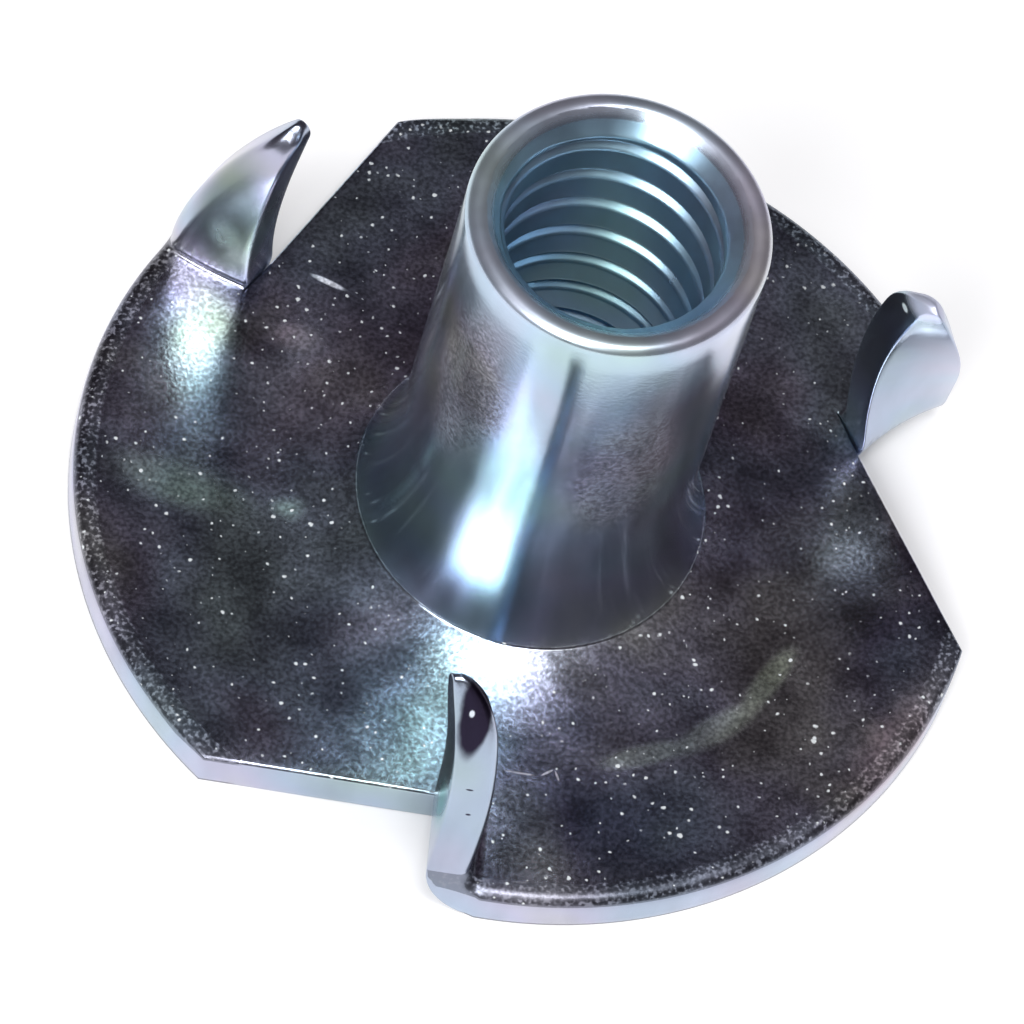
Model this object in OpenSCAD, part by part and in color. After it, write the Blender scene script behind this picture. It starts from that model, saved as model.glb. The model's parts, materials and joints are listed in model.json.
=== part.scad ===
// Three-prong tee nut: one stamped and deep-drawn piece of sheet steel.
// The threaded barrel stands on a round flange, and three prongs are slit
// from the flange and folded up beside the barrel.
// Millimetres. The origin is on the barrel's axis at the flange's underside,
// with +Z up the barrel. The first prong is folded on the -Y radius.

/* [Sheet and flange] */
// Thickness of the sheet
sheet_t = 0.9; // [0.6:0.05:1.1]
// Diameter of the flange
flange_d = 19; // [18:0.5:26]
// Rounding that the punch leaves on the rim's upper edge
rim_roll = 0.28; // [0.1:0.02:0.4]

/* [Barrel] */
// Outside diameter of the straight part of the barrel
barrel_d = 6.2; // [6:0.1:6.8]
// Height of the nut from the flange's underside to the mouth
nut_h = 11.8; // [9:0.1:20]
// Diameter at the foot of the barrel, where the flare meets the flange
foot_d = 7.6; // [7.2:0.1:9]
// Height of the flare above the flange's upper face
flare_h = 3.2; // [1.5:0.1:5]
// Rounding of the mouth's outer edge
lip_r = 0.25; // [0.1:0.01:0.3]

/* [Bore] */
// Diameter of the bore at the crests of its thread
bore_d = 4.45; // [3.9:0.05:4.6]
// Diameter of the countersink at the mouth
mouth_d = 5.4; // [4.9:0.05:5.5]
// Depth of the countersink at the mouth
mouth_depth = 0.45; // [0.2:0.05:1]
// Radius drawn into the underside where the sheet turns up into the barrel
draw_r = 1.3; // [0.8:0.05:1.6]

/* [Prongs] */
// Number of prongs
prong_count = 3; // [2:1:4]
// Distance from the axis to the straight cuts that free the prongs
cut_offset = 7.35; // [6.8:0.05:7.8]
// Radius on the inside of each prong's fold
fold_r = 0.5; // [0.3:0.05:1]
// Angle that each prong is folded past upright
prong_lean = 10; // [2:1:16]
// Radius of each prong's curl back from that lean, at mid-thickness
curl_r = 8.5; // [7:0.5:14]
// Rounding of each prong's point
point_r = 0.15; // [0.05:0.05:0.6]

/* [Hidden] */
$fn = 64;

// Clearance by which a cutting shape passes the face it cuts.
past = 1;
// Angle by which a fold's ring is drawn past its start, before it is trimmed.
fold_past = 6;
// Length of each prong's root inside the flange.
tongue = 0.3;
// Where the first prong's fold lies, seen from above.
first_fold_angle = 270;

flange_r = flange_d / 2;
barrel_r = barrel_d / 2;
foot_r = foot_d / 2;
bore_r = bore_d / 2;
mouth_r = mouth_d / 2;

// The flare's arc is tangent to the barrel's side and ends at the foot.
flare_spread = foot_r - barrel_r;
flare_r = (pow(flare_h, 2) + pow(flare_spread, 2)) / (2 * flare_spread);
flare_top = sheet_t + flare_h;

// The fold turns the sheet through this angle, about an axis along the
// radius and above the underside, and the curl turns it back again.
fold_angle = 90 + prong_lean;
fold_outer_r = fold_r + sheet_t;
fold_mid_r = fold_r + sheet_t / 2;

// Half of the chord that the straight cut makes in the round blank, which is
// the flat length of a prong from its fold to its point.
prong_length = sqrt(pow(flange_r, 2) - pow(cut_offset, 2));
// Length of the sheet's neutral line that the fold takes up.
neutral_share = 0.4;
fold_length = (fold_r + neutral_share * sheet_t) * fold_angle * PI / 180;
curl_angle = (prong_length - fold_length) / curl_r * 180 / PI;

// How far the circle that rounds a prong's point lies in from its two edges.
// It is a little less than the circle's radius, so that it crosses both.
point_inset = 0.9 * point_r;

// Section of the barrel and the flange, right of the axis.
module barrel_and_flange_section() {
    difference() {
        union() {
            flange_section();
            barrel_section();
            flare_section();
        }
        bore_section();
    }
}

module flange_section() {
    square([flange_r - rim_roll, sheet_t]);
    square([flange_r, sheet_t - rim_roll]);
    translate([flange_r - rim_roll, sheet_t - rim_roll]) circle(rim_roll);
}

module barrel_section() {
    square([barrel_r, nut_h - lip_r]);
    square([barrel_r - lip_r, nut_h]);
    translate([barrel_r - lip_r, nut_h - lip_r]) circle(lip_r);
}

module flare_section() {
    translate([barrel_r, sheet_t]) {
        difference() {
            square([flare_spread, flare_h]);
            translate([flare_r, flare_h]) circle(flare_r);
        }
    }
}

// What is taken out along the axis: the bore, the countersink at the mouth
// and the rounded entry that drawing leaves in the underside.
module bore_section() {
    translate([0, -past]) square([bore_r, nut_h + 2 * past]);
    polygon([
        [0, nut_h - mouth_depth],
        [bore_r, nut_h - mouth_depth],
        [mouth_r, nut_h],
        [mouth_r, nut_h + past],
        [0, nut_h + past],
    ]);
    difference() {
        translate([0, -past]) square([bore_r + draw_r, draw_r + past]);
        translate([bore_r + draw_r, draw_r]) circle(draw_r);
        translate([bore_r + draw_r, -2 * past]) square([draw_r, draw_r + 2 * past]);
    }
}

// Part of a ring between two angles, less than half a turn apart.
module ring_part(inner_r, outer_r, from_angle, to_angle) {
    reach = 2 * outer_r;
    middle_angle = (from_angle + to_angle) / 2;
    intersection() {
        difference() {
            circle(outer_r);
            circle(inner_r);
        }
        polygon([
            [0, 0],
            [reach * cos(from_angle), reach * sin(from_angle)],
            [reach * cos(middle_angle), reach * sin(middle_angle)],
            [reach * cos(to_angle), reach * sin(to_angle)],
        ]);
    }
}

// Section of a fold's ring and the curl that follows it, about the fold's
// axis. The two meet left of the axis, where the sheet runs straight up.
module fold_and_curl_section() {
    ring_part(fold_r, fold_outer_r, 180, 180 + fold_angle + fold_past);
    translate([-fold_mid_r - curl_r, 0])
        ring_part(curl_r - sheet_t / 2, curl_r + sheet_t / 2, 0, curl_angle);
}

// Section of a prong across its thickness, seen along the radius: x runs
// round the flange and y is up. The fold starts at x = 0 and turns the sheet
// up, past upright, and the curl then bends it back. A short tongue runs on
// into the flange.
module prong_section() {
    square([tongue, sheet_t]);
    translate([0, fold_outer_r]) {
        difference() {
            rotate(-prong_lean) fold_and_curl_section();
            translate([0, -2 * fold_outer_r])
                square([2 * fold_outer_r, 2 * fold_outer_r]);
        }
    }
}

// Outline of a prong seen square to its face: x runs out along the radius
// and y is up. Its inner edge is the straight cut and its outer edge is the
// blank's own arc. A circle set in from both rounds the point.
module prong_outline() {
    point_x = cut_offset + point_inset;
    point_y = sqrt(pow(flange_r - point_inset, 2) - pow(point_x, 2));
    reach = 2 * flange_r / (flange_r - point_inset);
    intersection() {
        circle(flange_r);
        translate([cut_offset, -past]) square([2 * flange_r, 2 * flange_r]);
        union() {
            translate([point_x, point_y]) circle(point_r);
            polygon([
                [0, -2 * past],
                [3 * flange_r, -2 * past],
                [point_x * reach, point_y * reach],
                [point_x, point_y],
                [0, point_y],
            ]);
        }
    }
}

// One prong, with its fold on the +X radius.
module prong() {
    intersection() {
        rotate([90, 0, 90]) linear_extrude(2 * flange_r) prong_section();
        translate([0, flange_r, 0]) rotate([90, 0, 0])
            linear_extrude(2 * flange_r) prong_outline();
    }
}

// The piece of the blank beyond one straight cut, up to the prong's fold.
module cut_away() {
    translate([cut_offset, -flange_d, -past])
        cube([flange_d, flange_d, sheet_t + 2 * past]);
}

module at_each_fold() {
    for (k = [0 : prong_count - 1])
        rotate([0, 0, first_fold_angle + k * 360 / prong_count]) children();
}

module tee_nut() {
    color("lightsteelblue") {
        difference() {
            rotate_extrude() barrel_and_flange_section();
            at_each_fold() cut_away();
        }
        at_each_fold() prong();
    }
}

tee_nut();
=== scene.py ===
"""Visual model of a three-prong tee nut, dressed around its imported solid.

The nut is one piece of sheet steel. It is made here in the order in which the
real one is: a round blank is slit three times and drawn up into a barrel, the
barrel's bore is tapped, and each prong is folded up beside its slit. The bore
and the folds are node trees, so each prong takes its own lean and curl from
the modifier that folds it.
"""

import json
import logging
import math
from collections.abc import Iterable, Iterator, Sequence
from dataclasses import dataclass, field, fields
from enum import Enum
from types import SimpleNamespace

import bmesh
import bpy
from bmesh.types import BMesh, BMVert
from bpy.types import ColorRamp, Material, Mesh, Node, NodeSocket, NodeTree, Object
from mathutils import Matrix, Vector
from mathutils.geometry import delaunay_2d_cdt


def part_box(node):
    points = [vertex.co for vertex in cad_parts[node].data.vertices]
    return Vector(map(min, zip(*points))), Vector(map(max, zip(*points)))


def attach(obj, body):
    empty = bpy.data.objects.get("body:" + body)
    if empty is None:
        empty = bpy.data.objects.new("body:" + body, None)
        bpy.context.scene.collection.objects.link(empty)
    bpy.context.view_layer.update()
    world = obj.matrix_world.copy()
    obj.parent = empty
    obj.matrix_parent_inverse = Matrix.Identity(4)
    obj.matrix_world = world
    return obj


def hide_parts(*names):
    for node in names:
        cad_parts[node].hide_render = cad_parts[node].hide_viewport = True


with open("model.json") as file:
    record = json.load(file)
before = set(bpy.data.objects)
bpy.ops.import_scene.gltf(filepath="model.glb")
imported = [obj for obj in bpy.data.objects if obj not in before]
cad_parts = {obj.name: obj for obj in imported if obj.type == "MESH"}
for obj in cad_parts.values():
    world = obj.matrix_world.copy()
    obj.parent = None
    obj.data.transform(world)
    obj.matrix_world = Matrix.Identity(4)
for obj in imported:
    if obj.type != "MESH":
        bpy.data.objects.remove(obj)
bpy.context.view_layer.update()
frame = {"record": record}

log = logging.getLogger("tee_nut")

MM = 0.001
NODE = "tee_nut"
WELD = 0.001 * MM

# What a Map Range node takes from a Range, and a Mix node's inputs and output
# for colours, by number, because others share their names. A noise's features
# are this wide where its scale is 1.
RANGE_INPUTS = ("From Min", "From Max", "To Min", "To Max")
MIX_A, MIX_B, MIX_OUT = 6, 7, 2
NOISE_FEATURE = 0.6

Plan = tuple[float, float]
Colour = tuple[float, float, float, float]
Range = tuple[float, float, float, float]


# ---- node helpers


def linear(code: str) -> Colour:
    """Turns an sRGB colour into the linear values that a shader takes.

    Args:
        code: Six hex digits after a "#".

    Returns:
        Red, green, blue and an alpha of 1.
    """
    channels = [int(code[i : i + 2], 16) / 255 for i in (1, 3, 5)]
    toe, slope, offset, power = 0.04045, 12.92, 0.055, 2.4
    red, green, blue = (
        c / slope if c <= toe else ((c + offset) / (1 + offset)) ** power for c in channels
    )
    return red, green, blue, 1.0


@dataclass(frozen=True)
class Value:
    """A number in a node tree. Arithmetic with it adds the nodes that do the sum."""

    socket: NodeSocket

    def __add__(self, other: "Value | float") -> "Value":
        """Adds another value or a number."""
        return self.then("ADD", other)

    def __sub__(self, other: "Value | float") -> "Value":
        """Takes another value or a number from this one."""
        return self.then("SUBTRACT", other)

    def __rsub__(self, other: float) -> "Value":
        """Takes this value from a number."""
        return self * -1.0 + other

    def __mul__(self, other: "Value | float") -> "Value":
        """Multiplies by another value or a number."""
        return self.then("MULTIPLY", other)

    def __truediv__(self, other: "Value | float") -> "Value":
        """Divides by another value or a number."""
        return self.then("DIVIDE", other)

    def within(self, low: "Value | float", high: "Value | float") -> "Value":
        """Keeps this value from a low to a high."""
        return self.then("MAXIMUM", low).then("MINIMUM", high)

    def then(self, operation: str, *others: "Value | float") -> "Value":
        """Carries the sum on with an operation, such as "SQRT", and its other terms."""
        terms = dict(enumerate((self, *others)))
        node = add_node(self.socket.id_data, "ShaderNodeMath", terms, operation=operation)
        return Value(node.outputs[0])


def add_node(tree: NodeTree, kind: str, inputs: dict | None = None, **settings: object) -> Node:
    """Adds a node with its settings, input values and links.

    Args:
        tree: The tree that the node goes into.
        kind: The node's type, such as "ShaderNodeMath".
        inputs: What each input takes, by its name or number. A Value or a
            socket is linked, and anything else is set as the input's value.
        **settings: The node's own attributes.

    Returns:
        The new node.
    """
    node = tree.nodes.new(kind)
    for name, setting in settings.items():
        setattr(node, name, setting)
    for key, given in (inputs or {}).items():
        source = given.socket if isinstance(given, Value) else given
        if isinstance(source, NodeSocket):
            tree.links.new(source, node.inputs[key])
        else:
            node.inputs[key].default_value = source
    return node


def sized(place: NodeSocket, size: float, detail: float) -> dict:
    """Gives the inputs of a noise whose features are of a given size."""
    return {"Vector": place, "Scale": NOISE_FEATURE / size, "Detail": detail}


def ranged(value: Value | NodeSocket, *ends: Value | float) -> dict:
    """Gives the inputs of a range: its low and high, and what they come out as."""
    return {"Value": value, **dict(zip(RANGE_INPUTS, ends))}


def add_object(name: str, data: object) -> Object:
    """Makes an object and puts it in the scene."""
    made = bpy.data.objects.new(name, data)
    bpy.context.scene.collection.objects.link(made)
    return made


def fresh_tree(owner: Material | bpy.types.World) -> NodeTree:
    """Gives a material or a world an empty tree."""
    owner.use_nodes = True
    owner.node_tree.nodes.clear()
    return owner.node_tree


def fill_ramp(ramp: ColorRamp, stops: Sequence[tuple[float, str]]) -> None:
    """Sets a ramp's stops, each a place and a colour."""
    while len(ramp.elements) < len(stops):
        ramp.elements.new(0.5)
    for element, (place, colour) in zip(ramp.elements, stops):
        element.position = place
        element.color = linear(colour)


class Kind(Enum):
    """Types of input that the geometry trees below take."""

    GEOMETRY = "NodeSocketGeometry"
    SIZE = "NodeSocketFloat"
    COUNT = "NodeSocketInt"
    MATERIAL = "NodeSocketMaterial"


@dataclass(frozen=True)
class GeometryTool:
    """A geometry tree with named inputs, which a modifier sets for one piece."""

    tree: NodeTree
    start: Node

    @classmethod
    def begin(cls, name: str, sizes: Iterable[str], counts: Iterable[str] = ()) -> "GeometryTool":
        """Makes an empty tree that takes and gives geometry.

        Args:
            name: The tree's name.
            sizes: Names of the inputs that are lengths, angles or shares.
            counts: Names of the inputs that are whole numbers.

        Returns:
            The tool, with only its inputs and its output in place.
        """
        tree = bpy.data.node_groups.new(name, "GeometryNodeTree")
        kinds = {
            "Geometry": Kind.GEOMETRY,
            "material": Kind.MATERIAL,
            **dict.fromkeys(sizes, Kind.SIZE),
            **dict.fromkeys(counts, Kind.COUNT),
        }
        for label, kind in kinds.items():
            tree.interface.new_socket(label, in_out="INPUT", socket_type=kind.value)
        tree.interface.new_socket("Geometry", in_out="OUTPUT", socket_type=Kind.GEOMETRY.value)
        return cls(tree, add_node(tree, "NodeGroupInput"))

    def given(self) -> SimpleNamespace:
        """Gives the inputs as values, by their names."""
        return SimpleNamespace(**{s.name: Value(s) for s in self.start.outputs if s.name})

    def end(self, geometry: NodeSocket) -> None:
        """Realizes the result, gives it its material and sends it out."""
        real = add_node(self.tree, "GeometryNodeRealizeInstances", {"Geometry": geometry})
        dressing = {"Geometry": real.outputs[0], "Material": self.start.outputs["material"]}
        dressed = add_node(self.tree, "GeometryNodeSetMaterial", dressing)
        add_node(self.tree, "NodeGroupOutput", {"Geometry": dressed.outputs[0]})

    def attach(self, piece: Object, **values: object) -> None:
        """Adds the tree to a piece as a modifier.

        Args:
            piece: The object that the modifier goes on.
            **values: What each input takes.
        """
        modifier = piece.modifiers.new(self.tree.name, "NODES")
        modifier.node_group = self.tree
        for item in self.tree.interface.items_tree:
            if item.in_out == "INPUT" and item.name in values:
                modifier[item.identifier] = values[item.name]


# ---- sizes


@dataclass(frozen=True)
class Prong:
    """One prong: where its fold lies, and how far it was pushed over.

    The three are not quite alike, because each slit is punched and each prong
    is bent by its own tool. A fold starts clockwise of its radius by one
    distance at the slit and by another at the rim, and the prong leans by one
    angle along its cut and by another along its rim.
    """

    turn: float
    cut_offset: float
    start_at_cut: float
    start_at_rim: float
    fold_r: float
    lean_at_cut: float
    lean_at_rim: float
    straight: float
    curl_r: float
    stretch: float
    narrowing: float
    splay: float
    point_roll: float


@dataclass(frozen=True)
class NutSizes:
    """Sizes of the nut, in metres. The outer ones are taken from the solid."""

    flange_r: float
    height: float
    bore_r: float
    barrel_r: float
    sheet_t: float = 0.9 * MM
    foot_r: float = 3.66 * MM
    flare_h: float = 3.2 * MM
    dish_h: float = 0.19 * MM
    dish_w: float = 2.2 * MM
    lip_r: float = 0.25 * MM
    mouth_r: float = 2.7 * MM
    mouth_depth: float = 0.45 * MM
    draw_r: float = 1.3 * MM
    pitch: float = 25.4 * MM / 24
    root_r: float = 2.413 * MM
    rim_roll: float = 0.28 * MM
    cut_roll: float = 0.09 * MM
    slit_roll: float = 0.03 * MM
    burr_r: float = 0.04 * MM
    slit_w: float = 0.02 * MM
    point_r: float = 0.22 * MM

    @classmethod
    def from_frame(cls) -> "NutSizes":
        """Reads the sizes that the solid and its mounts fix.

        Returns:
            The nut's sizes.
        """
        low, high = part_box(NODE)
        mounts = {mount["name"]: mount for mount in frame["record"]["mounts"]}
        return cls(
            flange_r=(high.y - low.y) / 2,
            height=high.z,
            bore_r=mounts["barrel_thread"]["dims"]["r_mm"] * MM,
            barrel_r=mounts["barrel_outside"]["dims"]["r_mm"] * MM,
        )


PRONGS = (
    Prong(
        turn=math.radians(30),
        cut_offset=7.12 * MM,
        start_at_cut=0.26 * MM,
        start_at_rim=-0.28 * MM,
        fold_r=0.18 * MM,
        lean_at_cut=math.radians(18.3),
        lean_at_rim=math.radians(-11.6),
        straight=0.25 * MM,
        curl_r=7.35 * MM,
        stretch=1.07,
        narrowing=0.54 * MM,
        splay=0.42 * MM,
        point_roll=1.1 * MM,
    ),
    Prong(
        turn=math.radians(150),
        cut_offset=7.5 * MM,
        start_at_cut=0.23 * MM,
        start_at_rim=-0.04 * MM,
        fold_r=0.1 * MM,
        lean_at_cut=math.radians(15.8),
        lean_at_rim=math.radians(12.9),
        straight=0.0,
        curl_r=13.5 * MM,
        stretch=1.37,
        narrowing=0.13 * MM,
        splay=-0.33 * MM,
        point_roll=1.0 * MM,
    ),
    Prong(
        turn=math.radians(270),
        cut_offset=7.32 * MM,
        start_at_cut=0.2 * MM,
        start_at_rim=0.2 * MM,
        fold_r=0.25 * MM,
        lean_at_cut=math.radians(-2),
        lean_at_rim=math.radians(6),
        straight=1.1 * MM,
        curl_r=13.7 * MM,
        stretch=1.0,
        narrowing=0.9 * MM,
        splay=-0.27 * MM,
        point_roll=1.5 * MM,
    ),
)


# ---- outline


class EdgePart(Enum):
    """Stretches of the blank's outline, in the order in which it runs."""

    RIM = "rim"
    CUT = "cut"
    SLIT_END = "slit end"
    PRONG_CUT = "prong cut"
    POINT = "point"
    PRONG_RIM = "prong rim"


@dataclass(frozen=True)
class EdgePoint:
    """A point of the outline, by its stretch and how far along that it lies."""

    prong: int
    part: EdgePart
    share: float
    roll: float


@dataclass(frozen=True)
class BlankOutline:
    """Outline of the round blank and its slits, seen from above.

    The slits open on the rim, so one closed line runs round the whole blank.
    It can be drawn inset by any small distance with the same points.
    """

    sizes: NutSizes
    prongs: Sequence[Prong]
    step: float = 0.16 * MM
    fold_step: float = 0.09 * MM
    fold_zone: float = 1.8 * MM
    before_fold: float = 0.3 * MM
    round_points: int = 9
    # The longest sweep of the rim between two prongs.
    rim_sweep: float = math.radians(80)
    # Where edges of unlike roll meet, as shares of the stretch.
    roll_blend: float = 0.12
    point_blend: float = 0.36
    slit_from: float = 0.88
    slit_blend: float = 0.08
    point_roll_share: float = 0.8

    def points(self) -> list[EdgePoint]:
        """Lists the outline's points, anticlockwise from the first fold.

        Returns:
            The points, each with the width of its rolled edge.
        """
        found = []
        for index in range(len(self.prongs)):
            onwards = (index + 1) % len(self.prongs)
            for part in EdgePart:
                owner = index if part is EdgePart.RIM else onwards
                for share in self._shares(owner, part):
                    found.append(EdgePoint(owner, part, share, self._roll(part, share)))
        return found

    def place(self, point: EdgePoint, inset: float) -> Plan:
        """Gives a point's place when the outline is drawn inset.

        Args:
            point: The outline's point.
            inset: Distance from the blank's real edge into the metal.

        Returns:
            The place in plan.
        """
        prong = self.prongs[point.prong]
        radius = self.sizes.flange_r - inset
        half_slit = self.sizes.slit_w / 2
        share = point.share
        centre_x, centre_y = self._point_centre(prong)
        leaving = math.atan2(centre_y, centre_x)
        if point.part is EdgePart.RIM:
            onwards = self.prongs[(point.prong + 1) % len(self.prongs)]
            corner = math.acos((onwards.cut_offset - half_slit - inset) / radius)
            sweep = (onwards.turn - prong.turn) % math.tau - corner
            return _polar(radius, prong.turn + share * sweep)
        if point.part is EdgePart.PRONG_RIM:
            return _polar(radius, prong.turn + leaving * (1 - share))
        if point.part is EdgePart.CUT:
            across = prong.cut_offset - half_slit - inset
            corner = math.sqrt(radius**2 - across**2)
            along = -corner + (corner - prong.start_at_cut) * share
        elif point.part is EdgePart.SLIT_END:
            reach = half_slit + inset
            angle = math.pi * (1 - share)
            across = prong.cut_offset + reach * math.cos(angle)
            along = reach * math.sin(angle) - prong.start_at_cut
        elif point.part is EdgePart.PRONG_CUT:
            across = prong.cut_offset + half_slit + inset
            along = centre_y * share - prong.start_at_cut * (1 - share)
        else:
            angle = math.pi + share * (math.pi + leaving)
            across = centre_x + (self.sizes.point_r - inset) * math.cos(angle)
            along = centre_y + (self.sizes.point_r - inset) * math.sin(angle)
        return _turned(across, along, prong.turn)

    def length_of_prong(self, prong: Prong) -> float:
        """Gives the flat length of a prong, from its fold to its point."""
        return self.sizes.point_r - self._point_centre(prong)[1]

    def _point_centre(self, prong: Prong) -> Plan:
        """Gives the centre of the circle that rounds a prong's point."""
        across = prong.cut_offset + self.sizes.slit_w / 2 + self.sizes.point_r
        return across, -math.sqrt((self.sizes.flange_r - self.sizes.point_r) ** 2 - across**2)

    def _shares(self, owner: int, part: EdgePart) -> list[float]:
        """Spaces points along a stretch, closer together where it will fold."""
        prong = self.prongs[owner]
        if part in (EdgePart.SLIT_END, EdgePart.POINT):
            return [i / self.round_points for i in range(self.round_points)]
        length = self.length_of_prong(prong)
        if part in (EdgePart.RIM, EdgePart.CUT):
            rim_length = self.sizes.flange_r * self.rim_sweep
            count = round((rim_length if part is EdgePart.RIM else length) / self.step)
            return [i / count for i in range(count)]
        stops = list(_stops(self.fold_zone, self.fold_step, length, self.step))
        if part is EdgePart.PRONG_CUT:
            return [stop / length for stop in stops[:-1]]
        return [1 - stop / length for stop in reversed(stops[1:])]

    def _roll(self, part: EdgePart, share: float) -> float:
        """Gives the width of the rolled edge, blended where stretches meet."""
        sizes, blend = self.sizes, self.roll_blend
        at_point = min(sizes.point_r * self.point_roll_share, sizes.rim_roll)
        if part is EdgePart.RIM:
            return _mix(sizes.rim_roll, sizes.cut_roll, (share - 1 + blend) / blend)
        if part is EdgePart.PRONG_RIM:
            return _mix(at_point, sizes.rim_roll, share / self.point_blend)
        if part is EdgePart.PRONG_CUT:
            near_slit = _mix(sizes.slit_roll, sizes.cut_roll, share / blend)
            return _mix(near_slit, at_point, (share - 1 + blend) / blend)
        if part is EdgePart.POINT:
            return at_point
        if part is EdgePart.CUT:
            slit_share = (share - self.slit_from) / self.slit_blend
            return _mix(sizes.cut_roll, sizes.slit_roll, slit_share)
        return sizes.slit_roll


def _mix(first: float, second: float, share: float) -> float:
    """Blends two values smoothly as a share goes from 0 to 1."""
    share = min(max(share, 0.0), 1.0)
    return first + (second - first) * share * share * (3 - 2 * share)


def _polar(radius: float, angle: float) -> Plan:
    """Gives the place at a radius and an angle."""
    return radius * math.cos(angle), radius * math.sin(angle)


def _turned(across: float, along: float, angle: float) -> Plan:
    """Turns a place about the axis by an angle."""
    cos, sin = math.cos(angle), math.sin(angle)
    return across * cos - along * sin, across * sin + along * cos


def _stops(near: float, near_step: float, end: float, step: float) -> Iterator[float]:
    """Steps from 0 to an end, in short steps at first and longer ones later."""
    near_count = round(near / near_step)
    far_count = round((end - near) / step)
    for i in range(near_count):
        yield near * i / near_count
    for i in range(far_count + 1):
        yield near + (end - near) * i / far_count


def _arc(centre: Plan, radius: float, start: float, end: float, steps: int) -> list[Plan]:
    """Lists the points of an arc, one more than it has steps."""
    angles = [start + (end - start) * i / steps for i in range(steps + 1)]
    return [(centre[0] + radius * math.cos(a), centre[1] + radius * math.sin(a)) for a in angles]


# ---- nut


@dataclass
class TeeNut:
    """The nut: its drawn blank, its tapped bore and its folded prongs."""

    sizes: NutSizes
    prongs: Sequence[Prong]
    outline: BlankOutline = field(init=False)
    columns: int = 180
    rows_per_pitch: int = 24
    # Rings of the sheet round the foot, above and below.
    top_rings: tuple[float, ...] = (4.6 * MM, 4.2 * MM, 3.7 * MM)
    join_under_r: float = 4.0 * MM
    bore_start: float = 0.5 * MM
    flare_steps: int = 40
    side_steps: int = 12
    lip_steps: int = 8
    draw_steps: int = 12
    # Steps of the edge's roll and burr, and where its wall has more points.
    roll_steps: int = 5
    burr_steps: int = 2
    wall_stops: tuple[float, ...] = (0.35, 0.7)
    # Spacing of the points on the sheet's faces, and on the prongs' width.
    grid_step: float = 0.22 * MM
    prong_step: float = 0.24 * MM
    edge_gap: float = 0.1 * MM

    def __post_init__(self) -> None:
        """Works out the outline."""
        self.outline = BlankOutline(self.sizes, self.prongs)

    def build(self, material: Material) -> Object:
        """Makes the whole nut as one closed mesh.

        Args:
            material: The plated finish.

        Returns:
            The nut's object, at the origin, with its place in its mesh.
        """
        bore = self._tapped_bore(material)
        log.info("bore: %d faces", len(bore.polygons))
        blank = self._drawn_blank(bore)
        log.info("blank: %d faces", len(blank.polygons))
        piece = add_object("pressed_nut", blank)
        fold = fold_tool()
        for prong in self.prongs:
            fold.attach(
                piece,
                **vars(prong),
                rim_radius=self.sizes.flange_r,
                length=self.outline.length_of_prong(prong),
                thickness=self.sizes.sheet_t,
                material=material,
            )
        finish_modifiers(piece)
        for face in piece.data.polygons:
            face.use_smooth = True
        return piece

    def _tapped_bore(self, material: Material) -> Mesh:
        """Makes the bore's wall, from the draw radius to the mouth."""
        sizes = self.sizes
        holder = add_object("bore_wall", bpy.data.meshes.new("bore_wall"))
        turns = (sizes.height - self.bore_start) / sizes.pitch + 1
        rows = math.ceil(turns * self.rows_per_pitch)
        bore_tool().attach(
            holder,
            columns=self.columns,
            rows=rows,
            row_height=sizes.pitch / self.rows_per_pitch,
            pitch=sizes.pitch,
            bottom=self.bore_start,
            top=sizes.height,
            crest_radius=sizes.bore_r,
            root_radius=sizes.root_r,
            mouth_radius=sizes.mouth_r,
            mouth_depth=sizes.mouth_depth,
            draw_radius=sizes.draw_r,
            start=THREAD_START,
            material=material,
        )
        finish_modifiers(holder)
        mesh = holder.data
        bpy.data.objects.remove(holder)
        return mesh

    def _drawn_blank(self, bore: Mesh) -> Mesh:
        """Joins the barrel, the sheet and the bore into one flat-pronged mesh."""
        points = self.outline.points()
        bm = bmesh.new()
        bm.from_mesh(bore)
        top_ring, under_ring = self._add_barrel(bm)
        loops = self._add_edges(bm, points)
        self._add_face(bm, top_ring, loops[0])
        self._add_face(bm, under_ring, loops[-1])
        bmesh.ops.remove_doubles(bm, verts=bm.verts, dist=WELD)
        bmesh.ops.dissolve_degenerate(bm, edges=bm.edges, dist=WELD)
        bmesh.ops.recalc_face_normals(bm, faces=bm.faces)
        for vertex in bm.verts:
            vertex.co.z += self._lift(vertex.co)
        mesh = bpy.data.meshes.new("pressed_nut")
        bm.to_mesh(mesh)
        bm.free()
        return mesh

    def _lift(self, place: Vector) -> float:
        """Gives how far drawing the barrel lifted the sheet round its foot."""
        sizes = self.sizes
        out = (place.xy.length - sizes.foot_r) / sizes.dish_w
        up = (place.z - sizes.sheet_t) / sizes.flare_h
        away = max(out, up, 0.0)
        return sizes.dish_h * max(1 - away, 0.0) ** 2

    def _barrel_profile(self) -> list[Plan]:
        """Gives the barrel's section outside the bore, from the flange up."""
        sizes = self.sizes
        spread = sizes.foot_r - sizes.barrel_r
        flare_r = (sizes.flare_h**2 + spread**2) / (2 * spread)
        flare_top = sizes.sheet_t + sizes.flare_h
        foot_angle = math.pi + math.asin(sizes.flare_h / flare_r)
        sheet = [(radius, sizes.sheet_t) for radius in self.top_rings]
        flare_centre = (sizes.barrel_r + flare_r, flare_top)
        flare = _arc(flare_centre, flare_r, foot_angle, math.pi, self.flare_steps)
        lip_centre = (sizes.barrel_r - sizes.lip_r, sizes.height - sizes.lip_r)
        side_h = lip_centre[1] - flare_top
        side = [
            (sizes.barrel_r, flare_top + side_h * i / self.side_steps)
            for i in range(1, self.side_steps)
        ]
        lip = _arc(lip_centre, sizes.lip_r, 0, math.pi / 2, self.lip_steps)
        return [*sheet, *flare, *side, *lip, (sizes.mouth_r, sizes.height)]

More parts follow.
